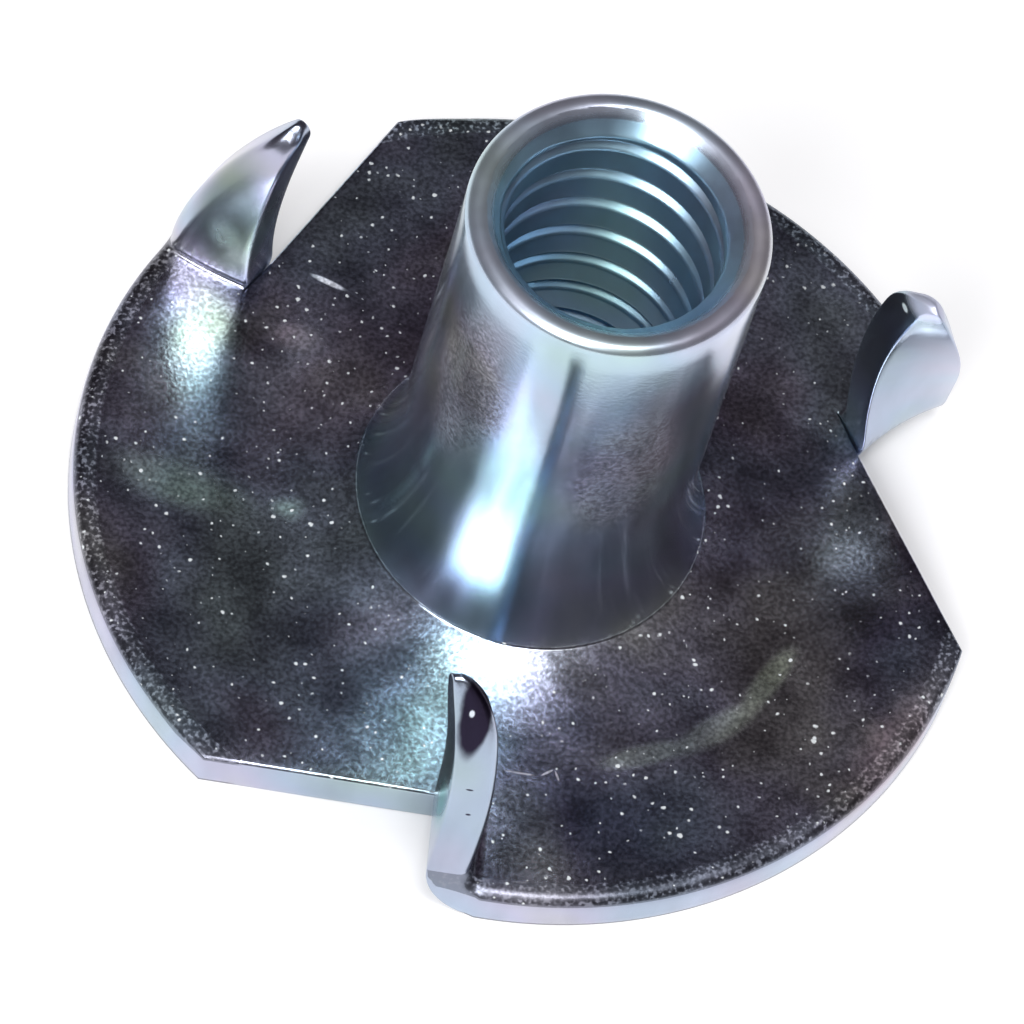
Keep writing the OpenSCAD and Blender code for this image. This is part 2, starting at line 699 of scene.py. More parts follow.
    def _underside_profile(self) -> list[Plan]:
        """Gives the section of the draw radius, from the bore to the flange."""
        sizes = self.sizes
        centre = (sizes.bore_r + sizes.draw_r, sizes.draw_r)
        start = math.pi + math.asin((sizes.draw_r - self.bore_start) / sizes.draw_r)
        draw = _arc(centre, sizes.draw_r, start, 1.5 * math.pi, self.draw_steps)
        return [*draw, (self.join_under_r, 0.0)]

    def _add_barrel(self, bm: BMesh) -> tuple[list[BMVert], list[BMVert]]:
        """Spins the barrel's outside and the draw radius about the axis.

        Args:
            bm: The mesh that they go into.

        Returns:
            The outermost ring of each, which the sheet's faces start from.
        """
        outside = [self._ring(bm, *stop) for stop in self._barrel_profile()]
        under = [self._ring(bm, *stop) for stop in self._underside_profile()]
        for rings in (outside, under):
            for ring, onwards in zip(rings, rings[1:]):
                _bridge(bm, ring, onwards)
        return outside[0], under[-1]

    def _ring(self, bm: BMesh, radius: float, height: float) -> list[BMVert]:
        """Adds a ring of vertices about the axis."""
        angles = [math.tau * i / self.columns for i in range(self.columns)]
        return [bm.verts.new((*_polar(radius, angle), height)) for angle in angles]

    def _add_edges(self, bm: BMesh, points: list[EdgePoint]) -> list[list[BMVert]]:
        """Adds the sheet's edge: its rolled top, its wall and its burr side.

        Args:
            bm: The mesh that the edge goes into.
            points: The outline's points.

        Returns:
            The loops of the edge, from the top face to the underside.
        """
        sizes = self.sizes
        sections = []
        for i in range(self.roll_steps + 1):
            angle = math.pi / 2 * i / self.roll_steps
            sections.append((1 - math.sin(angle), 1 - math.cos(angle), 0.0))
        sections += [(0.0, 1.0, share) for share in self.wall_stops]
        loops = []
        for roll_in, roll_down, wall in sections:
            loops.append([])
            for point in points:
                x, y = self.outline.place(point, point.roll * roll_in)
                top = sizes.sheet_t - point.roll * roll_down
                z = top - (top - sizes.burr_r) * wall
                loops[-1].append(bm.verts.new((x, y, z)))
        for i in range(self.burr_steps + 1):
            angle = math.pi / 2 * i / self.burr_steps
            inset = sizes.burr_r * (1 - math.cos(angle))
            z = sizes.burr_r * (1 - math.sin(angle))
            loops.append([bm.verts.new((*self.outline.place(p, inset), z)) for p in points])
        for loop, onwards in zip(loops, loops[1:]):
            _bridge(bm, loop, onwards)
        return loops

    def _add_face(self, bm: BMesh, ring: list[BMVert], loop: list[BMVert]) -> None:
        """Fills the sheet's top or underside between a ring and the outline.

        Args:
            bm: The mesh that the face goes into.
            ring: The ring of vertices round the barrel.
            loop: The loop of vertices along the sheet's edge.
        """
        height = ring[0].co.z
        given = [*loop, *ring]
        bound = [vertex.co.xy for vertex in given]
        inner = [Vector(place) for place in self._face_grid(ring[0].co.xy.length)]
        outer_ids = list(range(len(loop)))
        ring_ids = list(range(len(loop), len(bound)))
        inside_only, tolerance = 1, 1e-9
        spots, _, faces, spot_from, _, face_from = delaunay_2d_cdt(
            bound + inner, [], [outer_ids, ring_ids], inside_only, tolerance
        )
        made = []
        for spot, origins in zip(spots, spot_from):
            known = [i for i in origins if i < len(given)]
            made.append(given[known[0]] if known else bm.verts.new((*spot, height)))
        for face, owners in zip(faces, face_from):
            if 1 not in owners:
                bm.faces.new([made[i] for i in face])

    def _face_grid(self, inner_r: float) -> Iterator[Plan]:
        """Spreads points over the sheet: rings on the flange, rows on the prongs.

        Args:
            inner_r: Radius of the ring that the sheet starts from.

        Yields:
            Places in plan, clear of the sheet's edges.
        """
        sizes = self.sizes
        gap = self.edge_gap
        outer_r = sizes.flange_r - sizes.rim_roll - gap
        rings = math.floor((outer_r - inner_r) / self.grid_step)
        for i in range(1, rings + 1):
            radius = inner_r + (outer_r - inner_r) * i / rings
            count = round(math.tau * radius / self.grid_step)
            for j in range(count):
                place = _polar(radius, math.tau * (j + 0.5 * (i % 2)) / count)
                if self._on_flange(place):
                    yield place
        for prong in self.prongs:
            length = self.outline.length_of_prong(prong)
            before = self.outline.before_fold
            zone = self.outline.fold_zone + before
            rows = _stops(zone, self.outline.fold_step, length + before, self.outline.step)
            for row in rows:
                along = row - before
                reach = outer_r**2 - along**2
                start = prong.cut_offset + sizes.cut_roll + gap
                if along < prong.start_at_cut + gap:
                    start += sizes.cut_roll
                width = math.sqrt(reach) - start if reach > start**2 else 0.0
                count = math.ceil(width / self.prong_step)
                for i in range(count + 1 if width else 0):
                    yield _turned(start + width * i / max(count, 1), -along, prong.turn)

    def _on_flange(self, place: Plan) -> bool:
        """Says whether a place is on the flange, clear of every slit and prong."""
        clear = self.sizes.cut_roll + self.edge_gap
        for prong in self.prongs:
            across, along = _turned(*place, -prong.turn)
            if across > prong.cut_offset - clear and along < self.outline.before_fold + clear:
                return False
        return True


def _bridge(bm: BMesh, first: list[BMVert], second: list[BMVert]) -> None:
    """Joins two closed loops of as many vertices with a band of quads."""
    for i in range(len(first)):
        j = (i + 1) % len(first)
        bm.faces.new((first[i], first[j], second[j], second[i]))


def finish_modifiers(piece: Object) -> None:
    """Turns what a piece's modifiers make into its plain mesh."""
    depsgraph = bpy.context.evaluated_depsgraph_get()
    evaluated = piece.evaluated_get(depsgraph)
    mesh = bpy.data.meshes.new_from_object(evaluated, depsgraph=depsgraph)
    mesh.name = piece.name
    piece.modifiers.clear()
    piece.data = mesh


# ---- geometry trees

# Where in its turn the thread's root starts, and its root and flank as shares
# of the pitch.
THREAD_START = 0.3
ROOT_HALF_WIDTH = 1.5 / 24
FLANK_WIDTH = 3 / 24
# Where the neutral line lies in a folded sheet, as a share from its inside.
NEUTRAL_SHARE = 0.4
# How much of its thickness a prong loses at its point, and where in the
# thickness the point then lies.
POINT_THINNING = 0.96
POINT_LEVEL = 0.2

BORE_SIZES = (
    "row_height", "pitch", "bottom", "top", "crest_radius", "root_radius",
    "mouth_radius", "mouth_depth", "draw_radius", "start",
)
FOLD_SIZES = (*(field.name for field in fields(Prong)), "rim_radius", "length", "thickness")


def bore_tool() -> GeometryTool:
    """Builds the tree that makes a tapped bore.

    A flat grid is rolled into a tube whose rows climb one pitch in each turn,
    so that each row keeps its own place in the thread's section. Where rows
    would pass the tube's ends, they are pressed together there and merged. The
    wall is the thread or, where it is wider, the mouth's cone or the radius
    that drawing left at the bottom.

    Returns:
        The tool.
    """
    tool = GeometryTool.begin("Tapped bore", BORE_SIZES, ("columns", "rows"))
    tree, given = tool.tree, tool.given()
    counts = {"Vertices X": given.columns + 1, "Vertices Y": given.rows + 1}
    grid = add_node(tree, "GeometryNodeMeshGrid", {"Size X": 1.0, "Size Y": 1.0, **counts})
    position = add_node(tree, "GeometryNodeInputPosition").outputs[0]
    x, y, _ = map(Value, add_node(tree, "ShaderNodeSeparateXYZ", {0: position}).outputs)
    turn = x + 0.5
    angle = turn * math.tau
    row_up = (y + 0.5) * given.rows * given.row_height + given.bottom
    climbed = (turn - 1.0) * given.pitch + row_up
    height = climbed.within(given.bottom, given.top)
    phase = (height / given.pitch - turn + given.start).then("FRACT")
    off_root = (phase - 0.5).then("ABSOLUTE")
    ends = (ROOT_HALF_WIDTH, ROOT_HALF_WIDTH + FLANK_WIDTH, given.root_radius, given.crest_radius)
    thread = add_node(tree, "ShaderNodeMapRange", ranged(off_root, *ends))
    mouth_slope = (given.mouth_radius - given.crest_radius) / given.mouth_depth
    cone = (height - (given.top - given.mouth_depth)) * mouth_slope + given.crest_radius
    in_draw = (given.draw_radius - height).then("MAXIMUM", 0.0)
    half_chord = (given.draw_radius * given.draw_radius - in_draw * in_draw).then("SQRT")
    drawn = given.draw_radius - half_chord + given.crest_radius
    radius = Value(thread.outputs[0]).then("MAXIMUM", cone.then("MAXIMUM", drawn))
    place = add_node(
        tree,
        "ShaderNodeCombineXYZ",
        {0: radius * angle.then("COSINE"), 1: radius * angle.then("SINE"), 2: height},
    )
    rolled = add_node(
        tree,
        "GeometryNodeSetPosition",
        {"Geometry": grid.outputs["Mesh"], "Position": place.outputs[0]},
    )
    merging = {"Geometry": rolled.outputs[0], "Distance": WELD}
    tool.end(add_node(tree, "GeometryNodeMergeByDistance", merging).outputs[0])
    return tool


def fold_tool() -> GeometryTool:
    """Builds the tree that folds one prong up out of the flat sheet.

    The prong lies clockwise of its fold line. Its sheet runs round the fold,
    past upright by its lean, and then curls back at a steady radius.

    Returns:
        The tool.
    """
    tool = GeometryTool.begin("Folded prong", FOLD_SIZES)
    tree, given = tool.tree, tool.given()
    position = add_node(tree, "GeometryNodeInputPosition").outputs[0]
    local = add_node(
        tree,
        "ShaderNodeVectorRotate",
        {"Vector": position, "Angle": given.turn},
        rotation_type="Z_AXIS",
        invert=True,
    )
    split = add_node(tree, "ShaderNodeSeparateXYZ", {0: local.outputs[0]})
    across, along, height = map(Value, split.outputs)
    flat = along * -1.0
    # How near the point is to the rim, from 0 at the cut.
    rim_share = (across - given.cut_offset) / (given.rim_radius - given.cut_offset)
    cut_share = 1.0 - rim_share
    start_spread = given.start_at_cut - given.start_at_rim
    start = start_spread * (cut_share * cut_share) + given.start_at_rim
    lean = (given.lean_at_rim - given.lean_at_cut) * rim_share + given.lean_at_cut
    # The fold, and then a straight length and the curl.
    from_start = flat - start
    beyond_cut = across.then("GREATER_THAN", given.cut_offset)
    on_prong = beyond_cut * from_start.then("GREATER_THAN", 0.0)
    fold_angle = lean + math.pi / 2
    neutral_r = given.thickness * NEUTRAL_SHARE + given.fold_r
    middle_r = given.thickness * 0.5 + given.fold_r
    bend = (from_start / neutral_r).then("MINIMUM", fold_angle)
    free_length = (from_start - neutral_r * fold_angle).then("MAXIMUM", 0.0)
    drawn_out = free_length * given.stretch
    before_curl = drawn_out.then("MINIMUM", given.straight)
    heading = bend - (drawn_out - before_curl) / given.curl_r
    sin_bend, cos_bend = bend.then("SINE"), bend.then("COSINE")
    # The point is rolled off, most of it on its upper side.
    to_point = ((given.length - flat) / given.point_roll).then("MINIMUM", 1.0)
    point_depth = 1.0 - to_point
    point_share = (point_depth * point_depth * -POINT_THINNING + 1.0).then("SQRT")
    thinned = (given.thickness * -POINT_LEVEL + height) * point_share
    off_middle = given.thickness * (POINT_LEVEL - 0.5) + thinned
    # The place across the thickness, from the centres of the curl and the fold.
    from_curl = given.curl_r + off_middle
    from_bend = given.curl_r + middle_r
    curled_along = from_curl * heading.then("SINE") - from_bend * sin_bend
    new_along = curled_along - before_curl * cos_bend - start
    curl_up = from_curl * heading.then("COSINE") + (given.fold_r + given.thickness)
    new_height = before_curl * sin_bend + (curl_up - from_bend * cos_bend)
    length_share = flat / given.length
    splayed = length_share * length_share * given.splay + across
    new_across = splayed - rim_share * length_share * given.narrowing
    folded = add_node(
        tree, "ShaderNodeCombineXYZ", {0: new_across, 1: new_along, 2: new_height}
    )
    back = add_node(
        tree,
        "ShaderNodeVectorRotate",
        {"Vector": folded.outputs[0], "Angle": given.turn},
        rotation_type="Z_AXIS",
    )
    moving = {"Geometry": given.Geometry, "Selection": on_prong, "Position": back.outputs[0]}
    tool.end(add_node(tree, "GeometryNodeSetPosition", moving).outputs[0])
    return tool


# ---- finishes


@dataclass(frozen=True)
class Spot:
    """A patch, a stain, a scratch or a place of painted light or shade: a place where the plate
    looks different.

    It is an ellipsoid with a soft edge, so a zone of the nut is a spot that is
    as wide as the nut, and a scratch is a long thin one. Its centre and radii
    are in millimetres, and it is turned about the upright by degrees.
    """

    centre: tuple[float, float, float]
    radii: tuple[float, float, float]
    colour: str
    metal: float = 1.0
    roughness: float = 0.25
    turn: float = 0.0
    soft: float = 0.3
    ragged: bool = False
    grain: float = 0.0

    def inside(self, place: NodeSocket) -> NodeSocket:
        """Gives how far inside the spot a place is.

        Args:
            place: The place on the nut.

        Returns:
            A share from 0 at the spot's edge to 1 past its soft border. Only a
            turned spot needs the mapping, which takes longer to render.
        """
        tree = place.id_data
        if self.turn:
            local = add_node(
                tree,
                "ShaderNodeMapping",
                {
                    "Vector": place,
                    "Location": [c * MM for c in self.centre],
                    "Rotation": (0, 0, math.radians(self.turn)),
                    "Scale": [r * MM for r in self.radii],
                },
                vector_type="TEXTURE",
            )
        else:
            scale = [1 / (r * MM) for r in self.radii]
            shift = [-c / r for c, r in zip(self.centre, self.radii)]
            local = add_node(
                tree,
                "ShaderNodeVectorMath",
                {0: place, 1: scale, 2: shift},
                operation="MULTIPLY_ADD",
            )
        reach = add_node(tree, "ShaderNodeVectorMath", {0: local.outputs[0]}, operation="LENGTH")
        share = add_node(
            tree,
            "ShaderNodeMapRange",
            ranged(reach.outputs["Value"], 1.0, 1.0 - self.soft),
            interpolation_type="SMOOTHSTEP",
        )
        return share.outputs[0]


ZONES = (
    # The barrel was drawn through a polished die, so it is the smoothest. Its colour is painted
    # paler, with a little diffuse haze, as a painted brightening of the reflections it shows.
    Spot((0, 0, 8), (3.95, 3.95, 20), "#D2E0E8", 0.96, 0.17, soft=0.01),
    # The flare at the barrel's foot is painted bluer, a painted tint of the dark flange it
    # reflects.
    Spot((0, 0, 1.6), (3.95, 3.95, 2.6), "#A8C6E4", 1.0, 0.18, soft=0.5),
    # The trimmed lip keeps the grain of the sheared sheet.
    Spot((0, 0, 11.95), (9, 9, 0.4), "#DADEE4", 0.8, 0.36, soft=0.5),
    # Plating is thin and milky inside the bore.
    Spot((0, 0, 5), (2.7, 2.7, 20), "#B8D6E4", 0.9, 0.34, soft=0.02),
    # Painted shade darkens the crease round the barrel's foot.
    Spot((0, 0, 1.08), (3.86, 3.86, 0.25), "#4C5864", 0.97, 0.4, soft=0.3),
)

PATCHES = (
    # The flange is painted lighter at the left and the back right and darker at the front and the
    # right, as painted reflections of the room that it mirrors.
    Spot((-4.8, 1.9, 1), (2.6, 2.2, 2), "#D2D6DC", 0.95, 0.26, 0, 0.9, True),
    Spot((5.9, 4.6, 1), (2.4, 3.0, 2), "#D2D6DC", 0.95, 0.26, 0, 0.9, True),
    Spot((2.5, -7.4, 1), (3.6, 1.8, 1), "#949AAC", 1.0, 0.22, 0, 0.9, True),
    Spot((7.3, -1.2, 1), (2.0, 2.4, 1), "#949AAC", 1.0, 0.22, 0, 0.9, True),
    # Painted reflections: a pale crescent of bands on the front of the flange, a brownish band by
    # the right rim and a greenish one on the left. Two small pale patches lie on the left.
    Spot((2.9, -5.6, 1), (1.3, 0.34, 1), "#CADAD2", 0.91, 0.3, 25, 0.6),
    Spot((4.3, -4.75, 1), (1.4, 0.42, 1), "#CADAD2", 0.91, 0.3, 42, 0.6),
    Spot((5.3, -3.4, 1), (1.3, 0.36, 1), "#CADAD2", 0.91, 0.3, 62, 0.6),
    Spot((8.1, -4.3, 1), (2.8, 0.9, 1), "#D0C6C4", 0.93, 0.3, 62, 0.8, True),
    Spot((-7.4, -0.9, 1), (2.2, 0.8, 1), "#C0D0C8", 0.95, 0.3, -8, 0.8, True),
    Spot((-5.2, 3.0, 1), (0.8, 0.5, 1), "#DAD6DA", 0.9, 0.3, 0, 0.7, True),
    Spot((-4.9, -1.1, 1), (0.5, 0.4, 1), "#CCE0DA", 0.86, 0.3, 0, 0.9, True),
    # Painted light on the prongs: the left prong's inner face is painted dark teal as painted
    # shade, with a paler green painted reflection, and the right and bottom prongs each get a
    # small white painted glint. The rest are a pale lilac patch by the right prong's point and,
    # on the bottom prong, a dark ragged patch, two thin dark lines and a teal patch.
    Spot((-7.0, 3.8, 3.4), (1.3, 0.75, 3.4), "#82968F", 1.0, 0.26, soft=0.55),
    Spot((-7.12, 3.85, 3.0), (0.5, 0.6, 0.9), "#B6D4C6", 0.9, 0.3, soft=0.8),
    Spot((7.2, 3.1, 6.1), (0.9, 0.6, 0.55), "#DED8E8", 0.5, 0.4, soft=0.5),
    Spot((6.8, 3.16, 5.54), (0.1, 0.2, 0.1), "#FFFFFF", 0.1, 0.3, soft=0.5),
    Spot((-1.14, -7.7, 4.85), (0.38, 1.0, 1.2), "#3A3242", 1.0, 0.3, ragged=True),
    Spot((-1.17, -7.64, 4.87), (0.07, 0.2, 0.1), "#FFFFFF", 0.1, 0.3, soft=0.5),
    Spot((-0.88, -8.44, 3.26), (0.1, 0.4, 0.025), "#4A4452", 1.0, 0.3, soft=0.5),
    Spot((-0.8, -8.7, 2.7), (0.07, 0.4, 0.03), "#4A4452", 1.0, 0.3, soft=0.5),
    Spot((-1.35, -8.2, 2.2), (0.35, 0.8, 1.0), "#94C8C4", 0.94, 0.28, soft=0.95),
    # The drawing die left the barrel rough in two places.
    Spot((-2.4, -2.0, 8.0), (1.4, 1.4, 3.2), "#DADFE4", 0.86, 0.22, 0, 0.5, True, 1.0),
    Spot((1.2, -2.8, 7.0), (1.7, 1.2, 2.8), "#C2BEC6", 0.92, 0.22, 0, 0.5, True, 1.0),
    # Beside the left prong's fold the sheet is smoother, and painted paler as a painted highlight
    # that strengthens the reflection it shows there.
    Spot((-7.35, 2.4, 1), (0.85, 2.3, 0.5), "#EEF8F6", 0.95, 0.12, -10, 0.6, True),
)

SCRATCHES_AND_CREASE_HIGHLIGHT = (
    # The first is a painted highlight along a crease beside the left prong's fold; the rest are
    # scratches.
    Spot((-4.65, 4.5, 1), (0.5, 0.09, 1), "#FFFFFF", 0.1, 0.3, -18.6, 0.6),
    Spot((0.36, -6.49, 1), (0.43, 0.035, 1), "#E0E6E8", 0.4, 0.3, soft=0.6),
    Spot((0.93, -6.38, 1), (0.2, 0.035, 1), "#E0E6E8", 0.4, 0.3, 37, 0.6),
    Spot((1.14, -6.42, 1), (0.17, 0.035, 1), "#E0E6E8", 0.4, 0.3, -67, 0.6),
)


@dataclass(frozen=True)
class Masks:
    """Which kind of surface a place is on, each as a share from 0 to 1."""

    sheet: Value
    roll: Value
    # The foot of the rim's wall, where contact shade is painted.
    burr: Value
    grainy: Value


@dataclass(frozen=True)
class ZincPlate:
    """Bright zinc plate on sheet steel, passivated a clear blue.

    The sheet was rolled, pressed and then plated in a barrel with many others.
    Plating follows the sheet's grain, tumbling leaves small bright nicks, and
    the passivation gives faint blue, green, lilac and straw tints. A range
    below is a noise's low and high and what the surface does at each.
    """

    name: str = "zinc_plated_steel"
    colour: str = "#C4CBD4"
    roughness: float = 0.23
    # What was drawn keeps its patterns, drawn out along the barrel.
    draw_squeeze: float = 0.35
    # Passivation tints, and the part of the noise that runs through them.
    tints: tuple[str, ...] = ("#E2F2EA", "#E2ECF8", "#F0E8F6", "#F8F0E4")
    tint_size: float = 2.6 * MM
    tint_from: float = 0.32
    tint_span: float = 0.36
    # Blotches of the plating, which also shift the roughness.
    blotch_size: float = 0.7 * MM
    blotch_shade: Range = (0.35, 0.6, -0.4, 0.0)
    blotch_roughness: float = 0.9
    ragged_by: float = 0.5 * MM
    # The rolled sheet's grain, drawn as coarse as it needs to be to show. Smooth
    # metal shows little of it, and only a share of the blotches.
    grain_size: float = 0.055 * MM
    grain_shade: Range = (0.35, 0.65, -0.35, 0.3)
    smooth_share: float = 0.35
    # Nicks, of bare pale metal that scatters the light.
    nick_colour: str = "#F0F6F8"
    nick_spacing: float = 0.2 * MM
    nick_r: float = 0.052 * MM
    nick_metal_loss: float = 0.75
    least_metal: float = 0.2
    # The rim's roll, darker and worn through in specks, and the burr below it, darkened as
    # painted contact shade.
    roll_start: float = 9.0 * MM
    roll_blend: float = 0.12 * MM
    roll_shade: float = -0.45
    roll_roughness: float = 0.15
    roll_wear_from: float = 0.53
    roll_wear_gain: float = 5.0
    contact_shade_top: float = 0.07 * MM
    painted_contact_shade: float = -0.7
    # The heights that count as the flange's upper face, and how far up a
    # surface has to face there, as part of the face or of its roll.
    face_z: float = 0.95 * MM
    face_reach: float = 0.23 * MM
    face_facing: float = 0.5
    roll_facing: float = 0.12
    # Size of the sheet's waves, and depths of the bump in millimetres.
    wave_size: float = 1.1 * MM
    wave_depth: float = 0.014
    grain_depth: float = 0.0008
    sheet_grain_depth: float = 0.0017

    def material(self) -> Material:
        """Builds the finish.

        Returns:
            The material.
        """
        material = bpy.data.materials.new(self.name)
        tree = fresh_tree(material)
        place = add_node(tree, "ShaderNodeTexCoord").outputs["Object"]
        squeeze = {0: place, 1: (1, 1, self.draw_squeeze)}
        drawn = add_node(tree, "ShaderNodeVectorMath", squeeze, operation="MULTIPLY").outputs[0]
        spread = add_node(tree, "ShaderNodeTexNoise", sized(drawn, self.blotch_size, detail=4.0))
        blotch = Value(spread.outputs["Fac"])
        fine = add_node(tree, "ShaderNodeTexNoise", sized(place, self.grain_size, detail=1.0))
        grain = Value(fine.outputs["Fac"])
        colour, values, rough_spots = self._spotted(place, spread.outputs["Color"])
        masks = self._masks(place, rough_spots)
        nicks = self._nicks(place, blotch, masks)
        tinting = {0: 1.0, MIX_A: colour, MIX_B: self._tint(place, blotch, grain, masks)}
        mixing = {"data_type": "RGBA", "blend_type": "MULTIPLY"}
        tinted = add_node(tree, "ShaderNodeMix", tinting, **mixing).outputs[MIX_OUT]
        nicking = {0: nicks, MIX_A: tinted, MIX_B: linear(self.nick_colour)}
        nicked = add_node(tree, "ShaderNodeMix", nicking, data_type="RGBA")
        metal, rough, _ = map(Value, add_node(tree, "ShaderNodeSeparateXYZ", {0: values}).outputs)
        worn_part = (grain - self.roll_wear_from) * self.roll_wear_gain
        worn_loss = masks.roll * worn_part.then("MAXIMUM", 0.0)
        metal_left = metal - worn_loss - nicks * self.nick_metal_loss
        roughening = (blotch - 0.5) * self.blotch_roughness + 1.0
        shader = add_node(
            tree,
            "ShaderNodeBsdfPrincipled",
            {
                "Base Color": nicked.outputs[MIX_OUT],
                "Metallic": metal_left.then("MAXIMUM", self.least_metal),
                "Roughness": masks.roll * self.roll_roughness + rough * roughening,
                "Normal": self._bump(drawn, grain, masks),
            },
        )
        add_node(tree, "ShaderNodeOutputMaterial", {"Surface": shader.outputs[0]})
        return material

    def _masks(self, place: NodeSocket, rough_spots: Value) -> Masks:
        """Finds the flange's upper face, the roll of its rim and the burr, where contact shade is
        painted.

        Args:
            place: The place on the nut.
            rough_spots: How much of the sheet's grain the spots there have.

        Returns:
            The share of each kind of surface.
        """
        tree = place.id_data
        x, y, z = map(Value, add_node(tree, "ShaderNodeSeparateXYZ", {0: place}).outputs)
        normal = add_node(tree, "ShaderNodeTexCoord").outputs["Normal"]
        facing = Value(add_node(tree, "ShaderNodeSeparateXYZ", {0: normal}).outputs[2])
        radius = (x * x + y * y).then("SQRT")
        past_rim = ((radius - self.roll_start) / self.roll_blend).within(0.0, 1.0)
        near_top = z.then("COMPARE", self.face_z, self.face_reach)
        sheet = near_top * facing.then("GREATER_THAN", self.face_facing)
        edge = near_top * facing.then("GREATER_THAN", self.roll_facing)
        return Masks(
            sheet=sheet,
            roll=past_rim * edge,
            burr=past_rim * z.then("LESS_THAN", self.contact_shade_top),
            grainy=sheet.then("MAXIMUM", rough_spots),
        )

    def _spotted(
        self, place: NodeSocket, scatter: NodeSocket
    ) -> tuple[NodeSocket, NodeSocket, Value]:
        """Lays the zones, the patches, the scratches and the spots of painted light and shade
        over the plain plate.

        Args:
            place: The place on the nut.
            scatter: A noise colour that makes ragged edges.

        Returns:
            The colour, the metallic share and roughness as a vector, and the
            grain, which has a short chain of its own because the bump reads it
            three times.
        """
        tree = place.id_data
        push = {0: scatter, 1: (self.ragged_by,) * 3, 2: (-self.ragged_by / 2,) * 3}
        pushed = add_node(tree, "ShaderNodeVectorMath", push, operation="MULTIPLY_ADD")
        ragged = add_node(
            tree, "ShaderNodeVectorMath", {0: place, 1: pushed.outputs[0]}, operation="ADD"
        )
        colour, values = linear(self.colour), (1.0, self.roughness, 0.0, 1.0)
        grain = 0.0
        for spot in (*ZONES, *PATCHES, *SCRATCHES_AND_CREASE_HIGHLIGHT):
            inside = spot.inside(ragged.outputs[0] if spot.ragged else place)
            change = {0: inside, MIX_A: colour, MIX_B: linear(spot.colour)}
            mixed = add_node(tree, "ShaderNodeMix", change, data_type="RGBA")
            colour = mixed.outputs[MIX_OUT]
            change = {0: inside, MIX_A: values, MIX_B: (spot.metal, spot.roughness, 0.0, 1.0)}
            mixed = add_node(tree, "ShaderNodeMix", change, data_type="RGBA")
            values = mixed.outputs[MIX_OUT]
            if spot.grain:
                change = {0: inside, "A": grain, "B": spot.grain}
                grain = add_node(tree, "ShaderNodeMix", change).outputs[0]
        return colour, values, Value(grain)

    def _tint(self, place: NodeSocket, blotch: Value, grain: Value, masks: Masks) -> NodeSocket:
        """Gives the passivation's broad tints, darkened by blotches and grain, and by painted
        contact shade at the rim's foot.

        Args:
            place: The place on the nut.
            blotch: The noise of the blotches.
            grain: The noise of the grain.
            masks: The kinds of surface.

        Returns:
            The colour that the plate's own is multiplied by.
        """
        tree = place.id_data
        wash = add_node(tree, "ShaderNodeTexNoise", sized(place, self.tint_size, detail=2.0))
        ramp = add_node(tree, "ShaderNodeValToRGB", {0: wash.outputs["Fac"]})
        gaps = len(self.tints) - 1
        places = [self.tint_from + self.tint_span * i / gaps for i in range(gaps + 1)]
        fill_ramp(ramp.color_ramp, list(zip(places, self.tints)))
        shades = []
        for noise, ends in ((blotch, self.blotch_shade), (grain, self.grain_shade)):
            made = add_node(tree, "ShaderNodeMapRange", ranged(noise, *ends))
            shades.append(Value(made.outputs[0]))
        shade, speckle = shades
        blotched = shade * (masks.grainy * (1 - self.smooth_share) + self.smooth_share) + 1.0
        plain = blotched * (speckle * masks.grainy + 1.0)
        rolled = plain * (masks.roll * self.roll_shade + 1.0)
        # Painted contact shade darkens the foot of the rim's wall.
        both = rolled * (masks.burr * self.painted_contact_shade + 1.0)
        scaling = {0: ramp.outputs[0], "Scale": both}
        return add_node(tree, "ShaderNodeVectorMath", scaling, operation="SCALE").outputs[0]

    def _nicks(self, place: NodeSocket, blotch: Value, masks: Masks) -> Value:
        """Gives where tumbling has nicked the flange, with an odd nick here and there."""
        tree = place.id_data
        fine = add_node(tree, "ShaderNodeTexNoise", sized(place, self.grain_size, detail=0.0))
        push = {0: fine.outputs["Color"], 1: (self.nick_r,) * 3, 2: place}
        pushed = add_node(tree, "ShaderNodeVectorMath", push, operation="MULTIPLY_ADD")
        spacing = {"Vector": pushed.outputs[0], "Scale": 1 / self.nick_spacing}
        cells = add_node(tree, "ShaderNodeTexVoronoi", spacing)
        chance = add_node(tree, "ShaderNodeSeparateColor", {0: cells.outputs["Color"]})
        reach = self.nick_r / self.nick_spacing
        size = Value(chance.outputs[0]) * masks.sheet * (2 * reach) * blotch
        return ((size - Value(cells.outputs["Distance"])) / (reach / 2)).within(0.0, 1.0)

    def _bump(self, drawn: NodeSocket, grain: Value, masks: Masks) -> NodeSocket:
        """Gives the sheet's waviness and its grain as one bump."""
        tree = drawn.id_data
        noise = add_node(tree, "ShaderNodeTexNoise", sized(drawn, self.wave_size, detail=1.0))
        wave = Value(noise.outputs["Fac"])
        depth = masks.grainy * self.sheet_grain_depth + self.grain_depth
        height = grain * depth + wave * self.wave_depth
        bump = {"Height": height, "Distance": 1 * MM, "Strength": 1.0}
        return add_node(tree, "ShaderNodeBump", bump).outputs[0]


# ---- stage


def direction(azimuth: float, elevation: float) -> Vector:
    """Gives the direction at an angle from -Y towards +X, and one above the table."""
    cos = math.cos(elevation)
    return Vector((math.sin(azimuth) * cos, -math.cos(azimuth) * cos, math.sin(elevation)))


